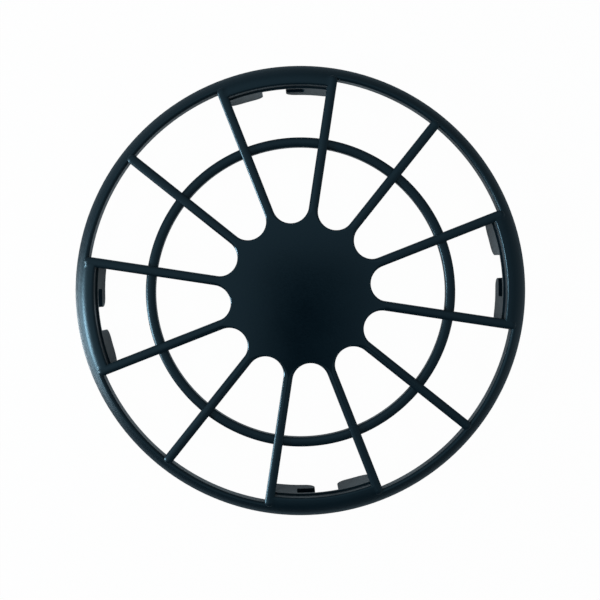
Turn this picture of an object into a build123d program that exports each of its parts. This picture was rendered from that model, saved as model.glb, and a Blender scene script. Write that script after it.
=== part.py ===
from build123d import *
from math import cos, radians, sin, sqrt
import os

os.makedirs("parts", exist_ok=True)

# Fan cover: one moulding. Millimetres, +Z is the front, the ends of the lugs stand on Z = 0.
# Sector centres lie at 0, 30, 60 ... degrees, spokes halfway between them.
# Every third sector, at 0, 90, 180 and 270 degrees, is a lug sector.

# Heights
height = 9.0              # ends of the lugs to the face of the hub, the spokes and the lands
plate_thickness = 2.8     # hub, spokes and rim
ring_recess = 1.2         # face of the middle ring below the face of the spokes
foot_height = 0.5         # where the inner wall of a land steps in to the lugs, above the back of the plate
under_z = height - plate_thickness
ring_top_z = height - ring_recess
ledge_z = under_z + foot_height

# Grille
sector_count = 12
spoke_width = 1.85
hub_waist_r = 14.0        # axis to the bottom of a window's round end
edge_break = 0.42         # front edges of the hub, the spokes and the lands
ring_mean_r = 30.0
ring_width = 1.9
ring_edge_break = 0.45
half_sector = 180.0 / sector_count
half_spoke = spoke_width / 2

# Rim: its front rolls over to the outer wall in one arc, the same all round
rim_r = 45.0
roll_width = 3.3
roll_drop = 1.65          # the arc falls this far by the outer wall
roll_r = rim_r - roll_width
roll_edge_z = height - roll_drop
roll_round = (roll_width**2 + roll_drop**2) / (2 * roll_drop)

# Between the lands the rim is narrow, and its inner front edge is well broken
rim_width = 2.35
rim_edge_break = 0.65
rim_inner_r = rim_r - rim_width
rim_top_z = height - roll_round + sqrt(roll_round**2 - (rim_inner_r - roll_r) ** 2)

# The spokes run up the roll of the rim and end in a round nose
nose_setback = 1.65
nose_r = rim_r - nose_setback
nose_centre_r = nose_r - half_spoke

# Lands: in the lug sectors the rim reaches further in and is flat there
land_flat = 0.65          # radial width of the flat
land_corner_r = 0.5
land_lap = 0.08           # how far the flat and the rolled part reach into each other
land_inner_r = roll_r - land_flat
land_overlap_r = roll_r - land_lap
land_core_r = land_overlap_r - land_lap

# Lugs: axial walls behind each land, one plain and one with an open slot
lug_sectors = 4
lug_setback = 2.45        # outer face of the lugs inside the rim
lug_thickness = 1.8
lug_tuck_angle = 0.5      # the lugs run in behind the spokes beside them
plain_start_angle = 4.35
slotted_start_angle = -2.3
slot_closed_angle = -7.55
slot_overrun_angle = 1.0  # the slot's cutter runs out past the free end
slot_cover = 0.2          # wall between the slot and the back of the plate
slot_height = 3.2
slot_corner_r = 0.5
lug_free_corner_r = 2.2
plain_far_corner_r = 4.0
slotted_far_corner_r = 2.2
lug_outer_r = rim_r - lug_setback
lug_inner_r = lug_outer_r - lug_thickness
lug_mean_r = (lug_inner_r + lug_outer_r) / 2
lug_end_angle = half_sector + lug_tuck_angle
slot_front_z = under_z - slot_cover
slot_back_z = slot_front_z - slot_height

# Round end of a window: touches both spokes and passes through the waist radius
end_centre_r = (hub_waist_r - half_spoke) / (1 - sin(radians(half_sector)))
end_radius = end_centre_r - hub_waist_r
cut_over = 5.0            # cutting outlines reach this far past the rim
clear_r = rim_r + cut_over


def spoke_side(along, side):
    """Point on the side of a spoke that faces the sector on +X, at a distance along the spoke."""
    a = radians(half_sector)
    x = along * cos(a) + half_spoke * sin(a)
    y = along * sin(a) - half_spoke * cos(a)
    return (x, side * y)


def on_side(radius):
    """Distance along the spoke at which its side reaches a radius."""
    return sqrt(radius**2 - half_spoke**2)


touch = end_centre_r * cos(radians(half_sector))

# Window outlines for the sector on +X: one open past the rim, one closed by a land
with BuildSketch() as open_window:
    with BuildLine():
        Line(spoke_side(touch, 1), spoke_side(on_side(clear_r), 1))
        ThreePointArc(spoke_side(on_side(clear_r), 1), (clear_r, 0), spoke_side(on_side(clear_r), -1))
        Line(spoke_side(on_side(clear_r), -1), spoke_side(touch, -1))
        ThreePointArc(spoke_side(touch, -1), (hub_waist_r, 0), spoke_side(touch, 1))
    make_face()

with BuildSketch() as land_window:
    with BuildLine():
        Line(spoke_side(touch, 1), spoke_side(on_side(land_inner_r), 1))
        ThreePointArc(
            spoke_side(on_side(land_inner_r), 1), (land_inner_r, 0), spoke_side(on_side(land_inner_r), -1)
        )
        Line(spoke_side(on_side(land_inner_r), -1), spoke_side(touch, -1))
        ThreePointArc(spoke_side(touch, -1), (hub_waist_r, 0), spoke_side(touch, 1))
    make_face()
    fillet(land_window.vertices().group_by(Axis.X)[-1], radius=land_corner_r)

# Sector of the rim that is a land, between the middles of the two spokes beside it
with BuildSketch() as land_sector:
    with BuildLine():
        far_y = clear_r * sin(radians(half_sector))
        far_x = clear_r * cos(radians(half_sector))
        Polyline((0, 0), (far_x, far_y), (far_x, -far_y), close=True)
    make_face()

# Hub, spokes and the flats of the lands, with the front edges broken
with BuildPart() as grille:
    with BuildSketch(Plane.XY.offset(under_z)):
        Circle(land_overlap_r)
        with PolarLocations((land_inner_r + nose_centre_r) / 2, sector_count, start_angle=half_sector):
            SlotCenterToCenter(nose_centre_r - land_inner_r, spoke_width)
        with PolarLocations(0, lug_sectors, start_angle=half_sector * 2):
            add(open_window.sketch, mode=Mode.SUBTRACT)
        with PolarLocations(0, lug_sectors, start_angle=half_sector * 4):
            add(open_window.sketch, mode=Mode.SUBTRACT)
        with PolarLocations(0, lug_sectors):
            add(land_window.sketch, mode=Mode.SUBTRACT)
    extrude(amount=plate_thickness)
    face = grille.faces().sort_by(Axis.Z)[-1]
    outline = face.outer_wire().edges()
    flat_ends = outline.filter_by(GeomType.CIRCLE).group_by(SortBy.RADIUS)[-1]
    window_edges = ShapeList([e for w in face.inner_wires() for e in w.edges()])
    chamfer(outline - flat_ends + window_edges, length=edge_break)

# Middle ring
with BuildPart() as ring:
    with BuildSketch(Plane.XZ) as ring_section:
        with Locations((ring_mean_r, under_z)):
            Rectangle(ring_width, ring_top_z - under_z, align=(Align.CENTER, Align.MIN))
        chamfer(ring_section.vertices().group_by(Axis.Y)[-1], length=ring_edge_break)
    revolve(axis=Axis.Z)

# Narrow rim between the lands
with BuildPart() as narrow_rim:
    with BuildSketch(Plane.XZ) as bead:
        with BuildLine():
            Line((rim_inner_r, under_z), (rim_inner_r, rim_top_z))
            RadiusArc((rim_inner_r, rim_top_z), (rim_r, roll_edge_z), roll_round)
            Line((rim_r, roll_edge_z), (rim_r, under_z))
            Line((rim_r, under_z), (rim_inner_r, under_z))
        make_face()
        chamfer(bead.vertices().group_by(Axis.Y)[-1], length=rim_edge_break)
    revolve(axis=Axis.Z)
    with BuildSketch(Plane.XY):
        with PolarLocations(0, lug_sectors):
            add(land_sector.sketch)
    extrude(amount=height + cut_over, mode=Mode.SUBTRACT)

# Rolled part of the lands
with BuildPart() as land_rim:
    with BuildSketch(Plane.XZ):
        with BuildLine():
            Line((land_core_r, under_z), (land_core_r, height))
            Line((land_core_r, height), (roll_r, height))
            RadiusArc((roll_r, height), (rim_r, roll_edge_z), roll_round)
            Line((rim_r, roll_edge_z), (rim_r, under_z))
            Line((rim_r, under_z), (land_core_r, under_z))
        make_face()
    revolve(axis=Axis.Z)
    with BuildSketch(Plane.XY):
        with PolarLocations(0, lug_sectors):
            add(land_sector.sketch)
    extrude(amount=height + cut_over, mode=Mode.INTERSECT)

# The two lugs behind the land on +X, with their back corners rounded
with BuildPart() as plain_lug:
    with BuildSketch(Plane.XZ.rotated((0, 0, plain_start_angle))):
        with Locations((lug_mean_r, 0)):
            Rectangle(lug_thickness, ledge_z, align=(Align.CENTER, Align.MIN))
    revolve(axis=Axis.Z, revolution_arc=lug_end_angle - plain_start_angle)
    back_corners = plain_lug.edges().filter_by(GeomType.LINE).group_by(Axis.Z)[0].sort_by(Axis.Y)
    fillet(back_corners[0], radius=lug_free_corner_r)
    back_corners = plain_lug.edges().filter_by(GeomType.LINE).group_by(Axis.Z)[0].sort_by(Axis.Y)
    fillet(back_corners[-1], radius=plain_far_corner_r)

with BuildPart() as slotted_lug:
    with BuildSketch(Plane.XZ.rotated((0, 0, -lug_end_angle))):
        with Locations((lug_mean_r, 0)):
            Rectangle(lug_thickness, ledge_z, align=(Align.CENTER, Align.MIN))
    revolve(axis=Axis.Z, revolution_arc=lug_end_angle + slotted_start_angle)
    back_corners = slotted_lug.edges().filter_by(GeomType.LINE).group_by(Axis.Z)[0].sort_by(Axis.Y)
    fillet(back_corners[0], radius=slotted_far_corner_r)
    back_corners = slotted_lug.edges().filter_by(GeomType.LINE).group_by(Axis.Z)[0].sort_by(Axis.Y)
    fillet(back_corners[-1], radius=lug_free_corner_r)

# Cutter for the slot, open past the free end
with BuildPart() as slot:
    with BuildSketch(Plane.XZ.rotated((0, 0, slot_closed_angle))):
        with Locations((lug_mean_r, slot_back_z)):
            Rectangle(2 * lug_thickness, slot_height, align=(Align.CENTER, Align.MIN))
    revolve(axis=Axis.Z, revolution_arc=slotted_start_angle - slot_closed_angle + slot_overrun_angle)
    closed_end = slot.faces().sort_by(Axis.Y)[0]
    fillet(closed_end.edges().filter_by(GeomType.LINE).filter_by(Axis.Z, reverse=True), radius=slot_corner_r)

# Low wall that carries both lugs and shows as a ledge inside the land
with BuildPart() as lug_foot:
    with BuildSketch(Plane.XZ.rotated((0, 0, -lug_end_angle))):
        with Locations((lug_mean_r, under_z)):
            Rectangle(lug_thickness, foot_height, align=(Align.CENTER, Align.MIN))
    revolve(axis=Axis.Z, revolution_arc=2 * lug_end_angle)

with BuildPart() as lug_pair:
    add(plain_lug.part)
    add(slotted_lug.part)
    add(slot.part, mode=Mode.SUBTRACT)
    add(lug_foot.part)

# The whole cover
with BuildPart() as fan_cover:
    add(grille.part)
    add(ring.part)
    add(narrow_rim.part)
    add(land_rim.part)
    with PolarLocations(0, lug_sectors):
        add(lug_pair.part)

fan_cover.part.label = "fan_cover"
export_step(fan_cover.part, "parts/fan_cover.step")
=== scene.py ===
import math

import bmesh
import bpy
from bpy.props import FloatProperty, FloatVectorProperty, PointerProperty
from mathutils import Matrix, Vector


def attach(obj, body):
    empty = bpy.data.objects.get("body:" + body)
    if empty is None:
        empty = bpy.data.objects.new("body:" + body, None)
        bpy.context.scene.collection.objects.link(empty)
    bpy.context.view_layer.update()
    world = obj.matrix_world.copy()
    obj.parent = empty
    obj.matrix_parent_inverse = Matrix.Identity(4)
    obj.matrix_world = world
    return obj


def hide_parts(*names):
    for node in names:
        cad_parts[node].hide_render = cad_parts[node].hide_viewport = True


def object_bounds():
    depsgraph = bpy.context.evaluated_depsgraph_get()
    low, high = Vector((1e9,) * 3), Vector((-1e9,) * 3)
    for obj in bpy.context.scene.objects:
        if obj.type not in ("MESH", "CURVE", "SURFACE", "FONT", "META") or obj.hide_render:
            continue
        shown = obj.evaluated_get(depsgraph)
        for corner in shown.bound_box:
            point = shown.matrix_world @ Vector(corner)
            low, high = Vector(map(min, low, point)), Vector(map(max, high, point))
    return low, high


bl_info = {
    "name": "Fan Cover",
    "version": (1, 0, 0),
    "blender": (4, 5, 0),
    "location": "3D View > Sidebar > Fan Cover",
    "description": "Finishes the moulded fan cover and sets it on a pale studio stage",
    "category": "Object",
}

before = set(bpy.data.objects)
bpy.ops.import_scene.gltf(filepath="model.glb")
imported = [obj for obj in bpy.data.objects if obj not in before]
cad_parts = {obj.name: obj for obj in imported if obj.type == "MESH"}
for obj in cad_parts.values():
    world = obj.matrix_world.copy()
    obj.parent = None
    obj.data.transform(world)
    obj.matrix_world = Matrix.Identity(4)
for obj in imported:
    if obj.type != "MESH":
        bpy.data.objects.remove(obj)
cad_low, cad_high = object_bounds()

MM = 0.001
FACE_Z = cad_high.z
RIM_R = cad_high.x
SPOKES = 12
LANDS = 4
HALF_SECTOR = math.pi / SPOKES
QUARTER = math.pi / 2
ORIGIN = Vector((0, 0, 0))
AXIS_X, AXIS_Y, AXIS_Z = Vector((1, 0, 0)), Vector((0, 1, 0)), Vector((0, 0, 1))

# The shells that are joined never share a plane: each stands this far off the next
STEP_OFF = 0.01 * MM
# Points closer than this are one point
SAME_POINT = 0.0005 * MM
# Heights and radii closer than this are the same
SAME_PLACE = 0.001 * MM
# Points closer than this to a cutting plane lie on it
ON_CUT = 0.0001 * MM

# Steps of a full turn, of the arcs and of the rounded edges
TURN_STEPS = 192
WINDOW_STEPS = 24
NOSE_STEPS = 16
ROLL_STEPS = 5
BLEND_STEPS = 8
LAND_ROUND_STEPS = 6
ROUND_STEPS = 8
# Cuts to each side of a lug pair's middle, for its bend
BEND_CUTS = 8
# Edges that turn by more than this stay crisp
CREASE_ANGLE = math.radians(32)

IMAGE_PX = 600
SENSOR_MM = 36.0
WHITE = (1.0, 1.0, 1.0, 1.0)


class Sock:
    """A shader socket that can be used in plain arithmetic."""

    def __init__(self, shader, socket):
        self.shader = shader
        self.socket = socket

    def _math(self, operation, *values):
        return self.shader.node("ShaderNodeMath", {"operation": operation}, list(values))

    def __add__(self, other):
        return self._math("ADD", self, other)

    def __radd__(self, other):
        return self._math("ADD", other, self)

    def __sub__(self, other):
        return self._math("SUBTRACT", self, other)

    def __rsub__(self, other):
        return self._math("SUBTRACT", other, self)

    def __mul__(self, other):
        return self._math("MULTIPLY", self, other)

    def __rmul__(self, other):
        return self._math("MULTIPLY", other, self)

    def __truediv__(self, other):
        return self._math("DIVIDE", self, other)

    def __rtruediv__(self, other):
        return self._math("DIVIDE", other, self)


class Shader:
    """Builds the nodes of one material or of the world."""

    def __init__(self, owner):
        owner.use_nodes = True
        self.owner = owner
        self.tree = owner.node_tree
        self.tree.nodes.clear()

    def node(self, kind, settings=None, inputs=None, output=0):
        """Adds a node, sets its settings first and then its sockets, and returns one output."""
        made = self.tree.nodes.new(kind)
        for key, value in (settings or {}).items():
            setattr(made, key, value)
        pairs = enumerate(inputs) if isinstance(inputs, list) else (inputs or {}).items()
        for key, value in pairs:
            if isinstance(value, Sock):
                self.tree.links.new(value.socket, made.inputs[key])
            else:
                made.inputs[key].default_value = value
        return Sock(self, made.outputs[output]) if len(made.outputs) else None

    def flat(self, vector):
        """The vector without its height."""
        return self.node("ShaderNodeVectorMath", {"operation": "MULTIPLY"}, [vector, (1.0, 1.0, 0.0)])

    def length(self, vector):
        return self.node("ShaderNodeVectorMath", {"operation": "LENGTH"}, [vector], "Value")

    def dot(self, first, second):
        return self.node("ShaderNodeVectorMath", {"operation": "DOT_PRODUCT"}, [first, second], "Value")

    def fade(self, value, low, high):
        """Soft step from 0 at low to 1 at high."""
        return self.node("ShaderNodeMapRange", {"interpolation_type": "SMOOTHSTEP"}, [value, low, high])

    def noise(self, vector, size, detail, roughness=0.5):
        """Noise whose patches are about as wide as a size."""
        return self.node(
            "ShaderNodeTexNoise",
            {"noise_dimensions": "3D"},
            {"Vector": vector, "Scale": 1 / size, "Detail": detail, "Roughness": roughness},
            "Fac",
        )

    def blend(self, factor, first, second):
        """Mixes two colours by a factor."""
        return self.node(
            "ShaderNodeMix",
            {"data_type": "RGBA", "clamp_factor": True},
            {"Factor": factor, 6: first, 7: second},
            2,
        )

    def for_camera(self, seen, others, share=1.0):
        """Gives camera rays a share of one shader, and all other rays the other shader."""
        camera_ray = self.node("ShaderNodeLightPath", output="Is Camera Ray")
        return self.node("ShaderNodeMixShader", inputs={0: camera_ray * share, 1: others, 2: seen})


def satin_black(finish):
    """Satin black moulding: smooth hub, and a fine spark-eroded grain toward the rim."""
    s = Shader(bpy.data.materials.new("satin_black_plastic"))
    where = s.node("ShaderNodeTexCoord", output="Object")
    grained_radius = 2.4 * finish.hub_radius
    rough_side = s.fade(s.length(s.flat(where)), finish.hub_radius, grained_radius)
    cloud = s.noise(where, finish.cloud_size, detail=2.0)
    grain = s.noise(where, finish.grain_size, detail=3.0, roughness=0.6)
    speck = s.noise(where, finish.grain_size / 4, detail=1.0)

    darkest, palest = 0.75, 1.3
    dark = (*(darkest * c for c in finish.colour), 1.0)
    pale = (*(palest * c for c in finish.colour), 1.0)
    colour = s.blend(cloud * 0.6 + grain * 0.4, dark, pale)

    cloud_sheen, grain_sheen = 0.06, 0.05
    roughness = finish.hub_roughness + (finish.roughness - finish.hub_roughness) * rough_side
    roughness = roughness + cloud_sheen * (cloud - 0.5) + grain_sheen * (grain - 0.5)

    # The hub keeps a trace of the grain
    hub_grain = 0.1
    relief = (grain * 0.7 + speck * 0.3) * (hub_grain + (1 - hub_grain) * rough_side)
    grained = s.node(
        "ShaderNodeBump",
        inputs={"Strength": finish.grain_strength, "Distance": finish.grain_depth, "Height": relief},
    )
    plastic = s.node(
        "ShaderNodeBsdfPrincipled",
        inputs={
            "Base Color": colour,
            "Roughness": roughness,
            "IOR": 1.5,
            "Specular Tint": (*finish.sheen_tint, 1.0),
            "Normal": grained,
        },
    )
    s.node("ShaderNodeOutputMaterial", inputs={"Surface": plastic})
    return s.owner


def paper_floor(stage):
    """Pale, slightly glossy floor that is white to the camera and keeps a faint shadow."""
    s = Shader(bpy.data.materials.new("pale_floor"))
    paper = s.node("ShaderNodeBsdfDiffuse", inputs={"Color": (*stage.floor_colour, 1.0)})
    sheen_colour, sheen_roughness = (0.9, 0.9, 0.9, 1.0), 0.3
    sheen = s.node("ShaderNodeBsdfGlossy", inputs={"Color": sheen_colour, "Roughness": sheen_roughness})
    lit = s.node("ShaderNodeMixShader", inputs={0: stage.floor_gloss, 1: paper, 2: sheen})
    glow = s.node("ShaderNodeEmission", inputs={"Color": WHITE, "Strength": 1.0})
    s.node("ShaderNodeOutputMaterial", inputs={"Surface": s.for_camera(glow, lit, stage.floor_whiteness)})
    return s.owner


def level_way(angle):
    """Level direction at an angle round the axis."""
    return Vector((math.cos(angle), math.sin(angle), 0))


def image_up(stage):
    """Level direction that points up in the image."""
    return Vector((math.sin(stage.roll), math.cos(stage.roll), 0.0))


def room_light(stage):
    """Room with a light ceiling, darker walls and a soft dark shape overhead, white to the camera."""
    s = Shader(bpy.data.worlds.new("soft_room"))
    way = s.node("ShaderNodeTexCoord", output="Generated")
    upright = image_up(stage)
    rise = s.dot(way, AXIS_Z)
    ceiling = s.fade(rise, math.cos(stage.ceiling_end), math.cos(stage.ceiling_start))

    # The dark shape overhead, in slopes from the axis
    across = s.dot(way, upright.cross(AXIS_Z)) / rise
    along = s.dot(way, upright) / rise
    left, right, top = stage.shade_sides
    left_soft, right_soft, top_soft = stage.shade_soft
    shade = s.fade(across, left - left_soft, left + left_soft)
    shade = shade * s.fade(across, right + right_soft, right - right_soft)
    shade = shade * s.fade(along, top + top_soft, top - top_soft) * stage.shade_depth

    near_start, near_end = 0.1, 0.7
    near = s.fade(s.dot(way, -upright), near_start, near_end) * stage.near_shade
    wall_way = s.dot(way, level_way(stage.wall_azimuth))
    wall = stage.wall_share * (1 + stage.wall_lean * wall_way * wall_way)
    bright = s.dot(way, level_way(stage.surround_azimuth))
    light = wall + (1 + stage.surround_lean * bright - wall) * ceiling
    strength = stage.surround * light * (1 - shade) * (1 - near)

    room = s.node("ShaderNodeBackground", inputs={"Color": (*stage.daylight, 1.0), "Strength": strength})
    white = s.node("ShaderNodeBackground", inputs={"Color": WHITE})
    s.node("ShaderNodeOutputWorld", inputs={"Surface": s.for_camera(white, room)})
    return s.owner


class FanCoverForm(bpy.types.PropertyGroup):
    """Sizes of the moulding"""

    thickness: FloatProperty(
        name="Plate thickness", description="Thickness of the hub, the spokes and the rim",
        default=2.8 * MM, unit="LENGTH",
    )
    spoke_width: FloatProperty(
        name="Spoke width", description="Width of a spoke", default=1.85 * MM, unit="LENGTH",
    )
    spoke_crown: FloatProperty(
        name="Spoke crown", description="How far the crowned front of a spoke reaches in from its sides",
        default=0.9 * MM, unit="LENGTH",
    )
    hub_round: FloatProperty(
        name="Hub edge round", description="How far the round front edges of the hub reach in",
        default=0.3 * MM, unit="LENGTH",
    )
    crown_radius: FloatProperty(
        name="Crown radius", description="Radius of the crowned fronts of the spokes and the ring",
        default=1.6 * MM, unit="LENGTH",
    )
    crown_edge: FloatProperty(
        name="Crown edge", description="Radius of the edges beside a crown", default=0.12 * MM, unit="LENGTH",
    )
    waist_radius: FloatProperty(
        name="Hub waist radius", description="From the axis to the bottom of a window's round end",
        default=14 * MM, unit="LENGTH",
    )
    nose_setback: FloatProperty(
        name="Nose setback", description="From the outer wall of the rim in to the nose of a spoke",
        default=1.65 * MM, unit="LENGTH",
    )
    ring_radius: FloatProperty(
        name="Ring radius", description="Mean radius of the middle ring", default=30 * MM, unit="LENGTH",
    )
    ring_width: FloatProperty(
        name="Ring width", description="Width of the middle ring", default=1.9 * MM, unit="LENGTH",
    )
    ring_recess: FloatProperty(
        name="Ring recess", description="Depth of the ring's face below the spokes",
        default=1.2 * MM, unit="LENGTH",
    )
    ring_crown: FloatProperty(
        name="Ring crown", description="How far the crowned front of the ring reaches in from its sides",
        default=0.9 * MM, unit="LENGTH",
    )
    roll_width: FloatProperty(
        name="Roll width", description="Radial width of the rim's rolled front",
        default=3.3 * MM, unit="LENGTH",
    )
    roll_drop: FloatProperty(
        name="Roll drop", description="Fall of the rolled front by the outer wall",
        default=1.65 * MM, unit="LENGTH",
    )
    rim_width: FloatProperty(
        name="Rim width", description="Width of the rim between the lands", default=2.35 * MM, unit="LENGTH",
    )
    rim_round: FloatProperty(
        name="Rim inner round", description="Radius of the narrow rim's inner front edge",
        default=0.55 * MM, unit="LENGTH",
    )
    land_flat: FloatProperty(
        name="Land flat", description="Radial width of a land's flat", default=0.65 * MM, unit="LENGTH",
    )
    land_round: FloatProperty(
        name="Land inner round", description="Radius of a land's inner front edge",
        default=0.4 * MM, unit="LENGTH",
    )
    foot_height: FloatProperty(
        name="Foot height", description="Height of the ledge inside a land", default=0.5 * MM, unit="LENGTH",
    )
    lug_setback: FloatProperty(
        name="Lug setback", description="From the outer wall of the rim in to the lugs",
        default=2.45 * MM, unit="LENGTH",
    )
    lug_thickness: FloatProperty(
        name="Lug thickness", description="Thickness of the lugs", default=1.8 * MM, unit="LENGTH",
    )
    lug_end: FloatProperty(
        name="Lug end", description="Angle from the middle of a land to the far end of each lug",
        default=math.radians(15.5), subtype="ANGLE",
    )
    plain_start: FloatProperty(
        name="Plain lug start", description="Angle from the middle of a land to the plain lug's free end",
        default=math.radians(4.35), subtype="ANGLE",
    )
    slotted_start: FloatProperty(
        name="Slotted lug start", description="Angle from the middle of a land to the slotted lug's free end",
        default=math.radians(-2.3), subtype="ANGLE",
    )
    slot_closed: FloatProperty(
        name="Slot's closed end", description="Angle from the middle of a land to the slot's closed end",
        default=math.radians(-7.55), subtype="ANGLE",
    )
    slot_cover: FloatProperty(
        name="Slot cover", description="Wall between a slot and the back of the plate",
        default=0.2 * MM, unit="LENGTH",
    )
    slot_height: FloatProperty(
        name="Slot height", description="Height of a slot", default=3.2 * MM, unit="LENGTH",
    )
    slot_round: FloatProperty(
        name="Slot corner", description="Radius of the corners of a slot's closed end",
        default=0.5 * MM, unit="LENGTH",
    )
    lug_free_round: FloatProperty(
        name="Lug free corner", description="Radius of the back corner at a lug's free end",
        default=2.2 * MM, unit="LENGTH",
    )
    plain_far_round: FloatProperty(
        name="Plain lug far corner", description="Radius of the back corner at the plain lug's far end",
        default=4 * MM, unit="LENGTH",
    )
    slotted_far_round: FloatProperty(
        name="Slotted lug far corner", description="Radius of the back corner at the slotted lug's far end",
        default=2.2 * MM, unit="LENGTH",
    )


class FanCoverFinish(bpy.types.PropertyGroup):
    """Colour, sheen and grain of the plastic"""

    colour: FloatVectorProperty(
        name="Plastic colour", description="Base colour of the black plastic", subtype="COLOR",
        default=(0.0005, 0.0042, 0.0078), min=0.0, max=1.0,
    )
    sheen_tint: FloatVectorProperty(
        name="Sheen tint", description="Tint of the plastic's reflections", subtype="COLOR",
        default=(0.48, 0.81, 1.0), min=0.0, max=1.0,
    )
    roughness: FloatProperty(
        name="Roughness", description="Mean roughness of the satin face", default=0.3,
        min=0.05, max=1.0, subtype="FACTOR",
    )
    hub_roughness: FloatProperty(
        name="Hub roughness", description="Roughness of the smoother hub", default=0.13,
        min=0.05, max=1.0, subtype="FACTOR",
    )
    hub_radius: FloatProperty(
        name="Hub radius", description="Radius of the smooth hub", default=14 * MM, unit="LENGTH",
    )
    grain_size: FloatProperty(
        name="Grain size", description="Size of the moulded grain", default=0.42 * MM, unit="LENGTH",
    )
    grain_depth: FloatProperty(
        name="Grain depth", description="Height of the moulded grain", default=0.018 * MM, unit="LENGTH",
    )
    grain_strength: FloatProperty(
        name="Grain strength", description="How strongly the grain shows", default=0.8,
        min=0.0, max=1.0, subtype="FACTOR",
    )
    cloud_size: FloatProperty(
        name="Cloud size", description="Size of the faint patches in the sheen",
        default=9 * MM, unit="LENGTH",
    )


class FanCoverStage(bpy.types.PropertyGroup):
    """Floor, lamps, room light and camera"""

    floor_size: FloatProperty(name="Floor size", description="Side of the floor", default=3.0, unit="LENGTH")
    floor_colour: FloatVectorProperty(
        name="Floor colour", description="Colour of the pale floor", subtype="COLOR",
        default=(0.78, 0.86, 0.9), min=0.0, max=1.0,
    )
    floor_gloss: FloatProperty(
        name="Floor gloss", description="Share of the floor's light that it mirrors", default=0.5,
        min=0.0, max=1.0, subtype="FACTOR",
    )
    floor_whiteness: FloatProperty(
        name="Floor whiteness", description="Share of plain white that the camera sees on the floor",
        default=0.98, min=0.0, max=1.0, subtype="FACTOR",
    )
    daylight: FloatVectorProperty(
        name="Daylight", description="Colour of the lamps and the room light", subtype="COLOR",
        default=(0.86, 0.95, 1.0), min=0.0, max=1.0,
    )
    surround: FloatProperty(
        name="Room light", description="Strength of the soft light all round", default=0.52, min=0.0,
    )
    surround_lean: FloatProperty(
        name="Ceiling lean", description="How much brighter the ceiling is toward its bright side",
        default=0.8, min=0.0,
    )
    surround_azimuth: FloatProperty(
        name="Bright side", description="Direction of the ceiling's bright side round the axis",
        default=math.radians(170), subtype="ANGLE",
    )
    ceiling_start: FloatProperty(
        name="Ceiling fade start", description="Angle from the axis where the ceiling starts to fade",
        default=math.radians(25), subtype="ANGLE",
    )
    ceiling_end: FloatProperty(
        name="Ceiling fade end", description="Angle from the axis where the walls begin",
        default=math.radians(50), subtype="ANGLE",
    )
    wall_share: FloatProperty(
        name="Wall share", description="Share of the ceiling's light that the walls give", default=0.5,
        min=0.0, max=1.0, subtype="FACTOR",
    )
    wall_lean: FloatProperty(
        name="Wall lean", description="How much brighter the two facing light walls are",
        default=1.0, min=0.0,
    )
    wall_azimuth: FloatProperty(
        name="Light walls", description="Direction of one of the two light walls round the axis",
        default=math.radians(-45), subtype="ANGLE",
    )
    near_shade: FloatProperty(
        name="Near side shade", description="How dark the side of the room toward the image's bottom is",
        default=0.6, min=0.0, max=1.0, subtype="FACTOR",
    )
    shade_sides: FloatVectorProperty(
        name="Shade sides", description="Slopes of the left, right and top side of the dark shape overhead",
        size=3, default=(-0.035, 0.07, 0.005),
    )
    shade_soft: FloatVectorProperty(
        name="Shade softness", description="Half widths of its soft left, right and top side, as slopes",
        size=3, default=(0.03, 0.055, 0.025),
    )
    shade_depth: FloatProperty(
        name="Shade depth", description="How dark the shape overhead is", default=1.0,
        min=0.0, max=1.0, subtype="FACTOR",
    )
    window_azimuth: FloatProperty(
        name="Window direction", description="Direction of both lamps round the axis",
        default=math.radians(186.5), subtype="ANGLE",
    )
    window_distance: FloatProperty(
        name="Window distance", description="Distance of both lamps", default=0.9, unit="LENGTH",
    )
    key_tilt: FloatProperty(
        name="Key lamp tilt", description="Angle of the key lamp from the axis",
        default=math.radians(60), subtype="ANGLE",
    )
    key_size: FloatVectorProperty(
        name="Key lamp size", description="Width and height of the key lamp", size=2, default=(0.22, 0.16),
        unit="LENGTH",
    )
    key_power: FloatProperty(
        name="Key lamp power", description="Power of the key lamp", default=5.4, unit="POWER",
    )
    low_tilt: FloatProperty(
        name="Low lamp tilt", description="Angle of the wide low lamp from the axis",
        default=math.radians(82.5), subtype="ANGLE",
    )
    low_size: FloatVectorProperty(
        name="Low lamp size", description="Width and height of the low lamp", size=2, default=(0.55, 0.2),
        unit="LENGTH",
    )
    low_power: FloatProperty(
        name="Low lamp power", description="Power of the low lamp", default=2.5, unit="POWER",
    )
    eye: FloatVectorProperty(
        name="Camera place", description="Place of the camera", subtype="TRANSLATION",
        default=(-0.254 * MM, 6.018 * MM, cad_high.z + 164 * MM),
    )
    aim: FloatVectorProperty(
        name="Camera aim", description="Point on the face in the middle of the image", subtype="TRANSLATION",
        default=(-0.286 * MM, -1.26 * MM, cad_high.z),
    )
    roll: FloatProperty(
        name="Camera roll", description="Turn of the image's upright from +Y",
        default=math.radians(6.471), subtype="ANGLE",
    )
    focal_px: FloatProperty(
        name="Focal length in pixels", description="Focal length for an image 600 pixels wide",
        default=828.5, subtype="PIXEL",
    )


def line(shape, start, end):
    """Adds an edge between two points."""
    shape.edges.new((shape.verts.new(start), shape.verts.new(end)))


def arc(shape, start, centre, axis, angle, steps):
    """Adds an arc of edges and returns the place of its end."""
    first = shape.verts.new(start)
    turned = bmesh.ops.spin(shape, geom=[first], cent=centre, axis=axis, angle=angle, steps=steps)
    return turned["geom_last"][0].co.copy()


def everything(shape):
    """All vertices, edges and faces of a shape."""
    return shape.verts[:] + shape.edges[:] + shape.faces[:]


def merge(shape):
    """Makes one point of those that lie together."""
    bmesh.ops.remove_doubles(shape, verts=shape.verts[:], dist=SAME_POINT)


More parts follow.
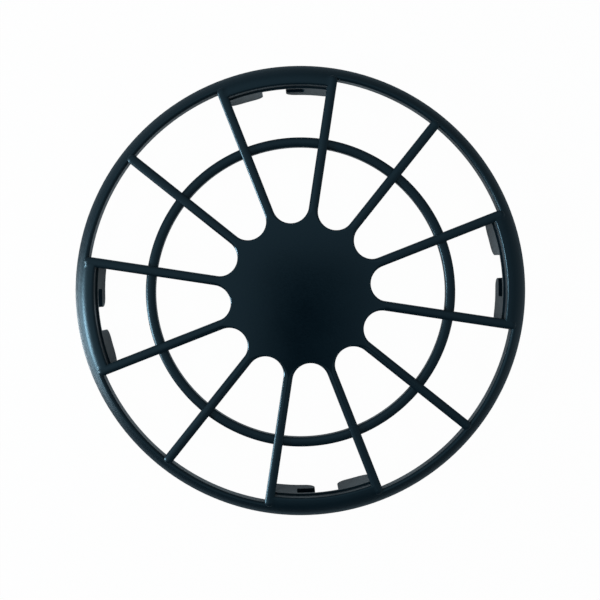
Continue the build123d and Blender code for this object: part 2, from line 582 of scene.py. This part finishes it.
def repeat(shape, count):
    """Copies a shape round the axis until there are count of it."""
    bmesh.ops.spin(
        shape, geom=everything(shape), cent=ORIGIN, axis=AXIS_Z, use_duplicate=True,
        angle=2 * math.pi * (count - 1) / count, steps=count - 1,
    )


def round_edges(shape, edges, radius):
    """Rounds edges with an even arc."""
    bmesh.ops.bevel(
        shape, geom=edges, offset=radius, offset_type="OFFSET", segments=ROUND_STEPS, profile=0.5,
        affect="EDGES", clamp_overlap=False, material=-1,
    )


def raise_faces(shape, depth):
    """Extrudes all faces of a shape along a vector."""
    grown = bmesh.ops.extrude_face_region(shape, geom=shape.faces[:])["geom"]
    bmesh.ops.translate(shape, verts=[v for v in grown if isinstance(v, bmesh.types.BMVert)], vec=depth)


def runs_round(edge):
    """True for an edge that runs round the axis rather than across it."""
    a, b = (v.co.xy.length for v in edge.verts)
    return abs(a - b) < SAME_PLACE


def lower_crown(form, shape, top, reach):
    """Turns the full rounds along a front into a shallow crown with small edge rounds."""
    start = reach - form.crown_edge
    for vert in shape.verts:
        drop = top - vert.co.z
        if 0 < drop < reach + SAME_PLACE:
            out = math.sqrt(max(0.0, reach**2 - (reach - drop) ** 2))
            sag = form.crown_radius - math.sqrt(form.crown_radius**2 - out**2)
            past = min(1.0, max(0.0, out - start) / form.crown_edge)
            vert.co.z = top - sag - form.crown_edge * (1 - math.sqrt(1 - past**2))


def as_object(shape, name):
    """Turns a closed shell into an object with outward faces."""
    merge(shape)
    bmesh.ops.recalc_face_normals(shape, faces=shape.faces[:])
    open_edges = [e for e in shape.edges if not e.is_manifold]
    if open_edges:
        raise RuntimeError(f"{name} has {len(open_edges)} open edges")
    mesh = bpy.data.meshes.new(name)
    shape.to_mesh(mesh)
    shape.free()
    made = bpy.data.objects.new(name, mesh)
    bpy.context.scene.collection.objects.link(made)
    return made


def finished_mesh(made):
    """New mesh of an object with its modifiers applied."""
    graph = bpy.context.evaluated_depsgraph_get()
    return bpy.data.meshes.new_from_object(made.evaluated_get(graph))


def discard(made):
    """Removes an object and its mesh."""
    spare = made.data
    bpy.data.objects.remove(made)
    bpy.data.meshes.remove(spare)


def take_in(shape, mesh):
    """Adds a mesh to a shape and removes it."""
    shape.from_mesh(mesh)
    bpy.data.meshes.remove(mesh)


def draw_sector(form, shape, end_centre):
    """Draws a twelfth of the outline: a window's round end, a spoke's nose and the sides between them."""
    half = form.spoke_width / 2
    base = (FACE_Z - form.thickness) * AXIS_Z
    along = level_way(HALF_SECTOR)
    across = Vector((-along.y, along.x, 0))
    turn = QUARTER + HALF_SECTOR
    window_centre = base + end_centre * AXIS_X
    upper_touch = window_centre + (end_centre - form.waist_radius) * level_way(turn)
    lower_touch = arc(shape, upper_touch, window_centre, AXIS_Z, 2 * math.pi - 2 * turn, WINDOW_STEPS)
    nose_centre = base + (RIM_R - form.nose_setback - half) * along
    nose_start = nose_centre - half * across
    nose_end = arc(shape, nose_start, nose_centre, AXIS_Z, math.pi, NOSE_STEPS)
    line(shape, upper_touch, nose_start)
    line(shape, nose_end, Matrix.Rotation(2 * HALF_SECTOR, 3, "Z") @ lower_touch)


def weigh_front(form, shape, touch_r):
    """Weighs the front edges, from the hub's small rounds at the waist to the full crowns of the spokes."""
    weights = shape.edges.layers.float.new("bevel_weight_edge")
    least = form.hub_round / form.spoke_crown
    for edge in shape.edges:
        if min(v.co.z for v in edge.verts) > FACE_Z - SAME_PLACE:
            middle = (edge.verts[0].co + edge.verts[1].co) / 2
            out = (middle.xy.length - form.waist_radius) / (touch_r - form.waist_radius)
            out = min(1.0, max(0.0, out))
            edge[weights] = least + (1 - least) * out * out * (3 - 2 * out)


def spoked_hub(form):
    """Hub disc with its twelve crowned spokes, the window ends and spoke noses fully round."""
    end_centre = (form.waist_radius - form.spoke_width / 2) / (1 - math.sin(HALF_SECTOR))
    shape = bmesh.new()
    draw_sector(form, shape, end_centre)
    repeat(shape, SPOKES)
    merge(shape)
    bmesh.ops.contextual_create(shape, geom=shape.edges[:])
    raise_faces(shape, form.thickness * AXIS_Z)
    weigh_front(form, shape, end_centre * math.cos(HALF_SECTOR))
    sharp = as_object(shape, "sharp_hub")
    bevel = sharp.modifiers.new("crowns", "BEVEL")
    bevel.limit_method, bevel.width = "WEIGHT", form.spoke_crown
    bevel.segments, bevel.profile = ROUND_STEPS, 0.5
    bevel.use_clamp_overlap = False
    crowned = bmesh.new()
    take_in(crowned, finished_mesh(sharp))
    discard(sharp)
    lower_crown(form, crowned, FACE_Z, form.spoke_crown)
    return as_object(crowned, "spoked_hub")


def middle_ring(form):
    """Crowned ring set below the faces of the spokes."""
    under, top = FACE_Z - form.thickness + STEP_OFF, FACE_Z - form.ring_recess
    inner, outer = form.ring_radius - form.ring_width / 2, form.ring_radius + form.ring_width / 2
    corners = [(inner, under), (outer, under), (outer, top), (inner, top)]
    shape = bmesh.new()
    verts = [shape.verts.new((x, 0, z)) for x, z in corners]
    loop = [shape.edges.new((verts[i - 1], verts[i])) for i in (1, 2, 3, 0)]
    bmesh.ops.spin(
        shape, geom=verts + loop, cent=ORIGIN, axis=AXIS_Z, angle=2 * math.pi, steps=TURN_STEPS,
        use_merge=True,
    )
    merge(shape)
    front = [e for e in shape.edges if min(v.co.z for v in e.verts) > top - SAME_PLACE and runs_round(e)]
    round_edges(shape, front, form.ring_crown)
    lower_crown(form, shape, top, form.ring_crown)
    return as_object(shape, "middle_ring")


def turned_part(profile, start, span):
    """Turns a section through part of the rim's round and returns its mesh."""
    merge(profile)
    bmesh.ops.rotate(profile, verts=profile.verts[:], cent=ORIGIN, matrix=Matrix.Rotation(start, 3, "Z"))
    bmesh.ops.spin(
        profile, geom=everything(profile), cent=ORIGIN, axis=AXIS_Z, angle=span,
        steps=round(TURN_STEPS * span / (2 * math.pi)),
    )
    mesh = bpy.data.meshes.new("rim_part")
    profile.to_mesh(mesh)
    profile.free()
    return mesh


def rolled_rim(form):
    """Rim with its rolled front, narrow between the lands and wide with a flat in them."""
    under, face = FACE_Z - form.thickness + 2 * STEP_OFF, FACE_Z - 2 * STEP_OFF
    inner_r = RIM_R - form.rim_width
    roll_r = RIM_R - form.roll_width
    roll_round = (form.roll_width**2 + form.roll_drop**2) / (2 * form.roll_drop)
    roll_centre = Vector((roll_r, 0, face - roll_round))
    full_lean = math.asin(form.roll_width / roll_round)

    # The narrow rim's inner round touches the roll where the roll leans this much
    round_x = inner_r + form.rim_round
    reach = roll_round - form.rim_round
    lean = math.asin((round_x - roll_r) / reach)
    round_z = roll_centre.z + reach * math.cos(lean)

    def outer_half(profile, blend):
        """The roll from the blend outwards, the outer wall and the back."""
        edge = arc(profile, blend, roll_centre, AXIS_Y, full_lean - lean, ROLL_STEPS)
        line(profile, edge, (RIM_R, 0, under))
        line(profile, (RIM_R, 0, under), (inner_r, 0, under))

    narrow = bmesh.new()
    round_centre = (round_x, 0, round_z)
    blend = arc(narrow, (inner_r, 0, round_z), round_centre, AXIS_Y, QUARTER + lean, BLEND_STEPS)
    outer_half(narrow, blend)
    line(narrow, (inner_r, 0, under), (inner_r, 0, round_z))

    land = bmesh.new()
    land_r, land_z = roll_r - form.land_flat, face - form.land_round
    round_centre = (land_r + form.land_round, 0, land_z)
    land_top = arc(land, (land_r, 0, land_z), round_centre, AXIS_Y, QUARTER, LAND_ROUND_STEPS)
    line(land, land_top, (roll_r, 0, face))
    blend = arc(land, (roll_r, 0, face), roll_centre, AXIS_Y, lean, BLEND_STEPS)
    outer_half(land, blend)
    line(land, (inner_r, 0, under), (land_r, 0, under))
    line(land, (land_r, 0, under), (land_r, 0, land_z))

    shape = bmesh.new()
    take_in(shape, turned_part(narrow, HALF_SECTOR, 4 * HALF_SECTOR))
    take_in(shape, turned_part(land, -HALF_SECTOR, 2 * HALF_SECTOR))
    repeat(shape, LANDS)
    merge(shape)
    bmesh.ops.holes_fill(shape, edges=shape.edges[:], sides=0)
    return as_object(shape, "rolled_rim")


def lug_pair(form, quarter):
    """Plain and slotted lug on their foot, drawn flat, cut across for the bend and bent to the rim."""
    outer_r = RIM_R - form.lug_setback
    under = FACE_Z - form.thickness
    ledge, foot = under + form.foot_height, under - STEP_OFF
    slot_front = under - form.slot_cover
    slot_back = slot_front - form.slot_height
    # Angle, height and radius of each corner
    corners = (
        (-form.lug_end, ledge, 0),
        (form.lug_end, ledge, 0),
        (form.lug_end, 0, form.plain_far_round),
        (form.plain_start, 0, form.lug_free_round),
        (form.plain_start, foot, 0),
        (form.slotted_start, foot, 0),
        (form.slotted_start, slot_front, 0),
        (form.slot_closed, slot_front, form.slot_round),
        (form.slot_closed, slot_back, form.slot_round),
        (form.slotted_start, slot_back, 0),
        (form.slotted_start, 0, form.lug_free_round),
        (-form.lug_end, 0, form.slotted_far_round),
    )
    shape = bmesh.new()
    verts = [shape.verts.new((angle * outer_r, 0, height)) for angle, height, _ in corners]
    shape.faces.new(verts)
    for vert, (_, _, radius) in zip(verts, corners):
        if radius:
            bmesh.ops.bevel(
                shape, geom=[vert], offset=radius, offset_type="OFFSET", segments=ROUND_STEPS, profile=0.5,
                affect="VERTICES", clamp_overlap=False, material=-1,
            )
    raise_faces(shape, form.lug_thickness * AXIS_Y)
    step = 2 * math.pi / TURN_STEPS
    for i in range(-BEND_CUTS, BEND_CUTS + 1):
        bmesh.ops.bisect_plane(
            shape, geom=everything(shape), dist=ON_CUT, plane_co=(i * step * outer_r, 0, 0), plane_no=AXIS_X,
        )
    for vert in shape.verts:
        angle, radius = vert.co.x / outer_r + quarter * QUARTER, outer_r - vert.co.y
        vert.co.x, vert.co.y = radius * math.cos(angle), radius * math.sin(angle)
    return as_object(shape, f"lug_pair_{quarter}")


def joined(parts, name):
    """Joins closed shells into one by an exact union."""
    base = parts[0]
    for part in parts[1:]:
        union = base.modifiers.new("union", "BOOLEAN")
        union.operation, union.solver, union.object = "UNION", "EXACT", part
    mesh = finished_mesh(base)
    mesh.name = name
    for part in parts:
        discard(part)
    whole = bpy.data.objects.new(name, mesh)
    bpy.context.scene.collection.objects.link(whole)
    return whole


def crisp(mesh, angle):
    """Smooth faces with creases only where they meet at more than an angle."""
    shape = bmesh.new()
    shape.from_mesh(mesh)
    merge(shape)
    bmesh.ops.dissolve_degenerate(shape, edges=shape.edges[:], dist=SAME_POINT)
    bmesh.ops.holes_fill(shape, edges=[e for e in shape.edges if e.is_boundary], sides=0)
    bmesh.ops.recalc_face_normals(shape, faces=shape.faces[:])
    if not all(edge.is_manifold for edge in shape.edges):
        raise RuntimeError("the joined moulding isn't closed")
    for face in shape.faces:
        face.smooth = True
    for edge in shape.edges:
        edge.smooth = edge.calc_face_angle() < angle
    shape.to_mesh(mesh)
    shape.free()


class FANCOVER_OT_moulding(bpy.types.Operator):
    """Build the moulding with its rounded edges and give it its satin black finish"""

    bl_idname = "fancover.moulding"
    bl_label = "Build the moulding"

    def execute(self, context):
        form = context.scene.fancover_form
        parts = [spoked_hub(form), middle_ring(form), rolled_rim(form)]
        parts += [lug_pair(form, quarter) for quarter in range(LANDS)]
        cover = joined(parts, "cover_moulding")
        crisp(cover.data, CREASE_ANGLE)
        cover.data.materials.append(satin_black(context.scene.fancover_finish))
        weighted = cover.modifiers.new("face_normals", "WEIGHTED_NORMAL")
        weighted.keep_sharp = True
        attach(cover, "root")
        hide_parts("fan_cover")
        return {"FINISHED"}


def look_from(eye, aim, up):
    """World matrix of a camera or lamp at eye that looks at aim."""
    forward = (Vector(aim) - Vector(eye)).normalized()
    right = forward.cross(up).normalized()
    turn = Matrix((right, right.cross(forward), -forward)).transposed().to_4x4()
    return Matrix.Translation(Vector(eye)) @ turn


class FANCOVER_OT_stage(bpy.types.Operator):
    """Set the floor, the lights and the camera"""

    bl_idname = "fancover.stage"
    bl_label = "Set the stage"

    def execute(self, context):
        stage = context.scene.fancover_stage
        self.floor(context, stage)
        context.scene.world = room_light(stage)
        self.lamp(context, stage, "key_lamp", stage.key_tilt, stage.key_size, stage.key_power)
        self.lamp(context, stage, "low_lamp", stage.low_tilt, stage.low_size, stage.low_power)
        self.camera(context, stage)
        context.scene.view_settings.view_transform = "Standard"
        return {"FINISHED"}

    def floor(self, context, stage):
        """Adds the floor that the cover stands on."""
        sheet = bmesh.new()
        bmesh.ops.create_grid(sheet, x_segments=1, y_segments=1, size=stage.floor_size / 2)
        mesh = bpy.data.meshes.new("floor")
        sheet.to_mesh(mesh)
        sheet.free()
        floor = bpy.data.objects.new("floor", mesh)
        context.scene.collection.objects.link(floor)
        mesh.materials.append(paper_floor(stage))

    def lamp(self, context, stage, name, tilt, size, power):
        """Adds a rectangular lamp that faces the cover from the window side."""
        away = math.sin(tilt) * level_way(stage.window_azimuth) + math.cos(tilt) * AXIS_Z
        centre = FACE_Z * AXIS_Z
        light = bpy.data.lights.new(name, "AREA")
        light.shape = "RECTANGLE"
        light.size, light.size_y = size
        light.energy = power
        light.color = stage.daylight
        lamp = bpy.data.objects.new(name, light)
        lamp.matrix_world = look_from(centre + away * stage.window_distance, centre, AXIS_Z)
        context.scene.collection.objects.link(lamp)

    def camera(self, context, stage):
        """Adds the camera at its place over the face."""
        view = bpy.data.cameras.new("camera")
        view.sensor_width = SENSOR_MM
        view.lens = stage.focal_px * SENSOR_MM / IMAGE_PX
        view.clip_start, view.clip_end = 0.01, 10.0
        camera = bpy.data.objects.new("camera", view)
        camera.matrix_world = look_from(stage.eye, stage.aim, image_up(stage))
        context.scene.collection.objects.link(camera)
        context.scene.camera = camera


class FANCOVER_PT_panel(bpy.types.Panel):
    """Builds the cover and its stage, with their sizes and colours"""

    bl_label = "Fan Cover"
    bl_idname = "FANCOVER_PT_panel"
    bl_space_type = "VIEW_3D"
    bl_region_type = "UI"
    bl_category = "Fan Cover"

    def draw(self, context):
        layout = self.layout
        scene = context.scene
        layout.operator("fancover.moulding")
        for name in FanCoverForm.__annotations__:
            layout.prop(scene.fancover_form, name)
        for name in FanCoverFinish.__annotations__:
            layout.prop(scene.fancover_finish, name)
        layout.operator("fancover.stage")
        for name in FanCoverStage.__annotations__:
            layout.prop(scene.fancover_stage, name)


CLASSES = (
    FanCoverForm, FanCoverFinish, FanCoverStage, FANCOVER_OT_moulding, FANCOVER_OT_stage, FANCOVER_PT_panel,
)


def register():
    for cls in CLASSES:
        bpy.utils.register_class(cls)
    bpy.types.Scene.fancover_form = PointerProperty(type=FanCoverForm)
    bpy.types.Scene.fancover_finish = PointerProperty(type=FanCoverFinish)
    bpy.types.Scene.fancover_stage = PointerProperty(type=FanCoverStage)


def unregister():
    del bpy.types.Scene.fancover_stage
    del bpy.types.Scene.fancover_finish
    del bpy.types.Scene.fancover_form
    for cls in reversed(CLASSES):
        bpy.utils.unregister_class(cls)


def main():
    register()
    bpy.ops.fancover.moulding()
    bpy.ops.fancover.stage()


if __name__ == "__main__":
    main()
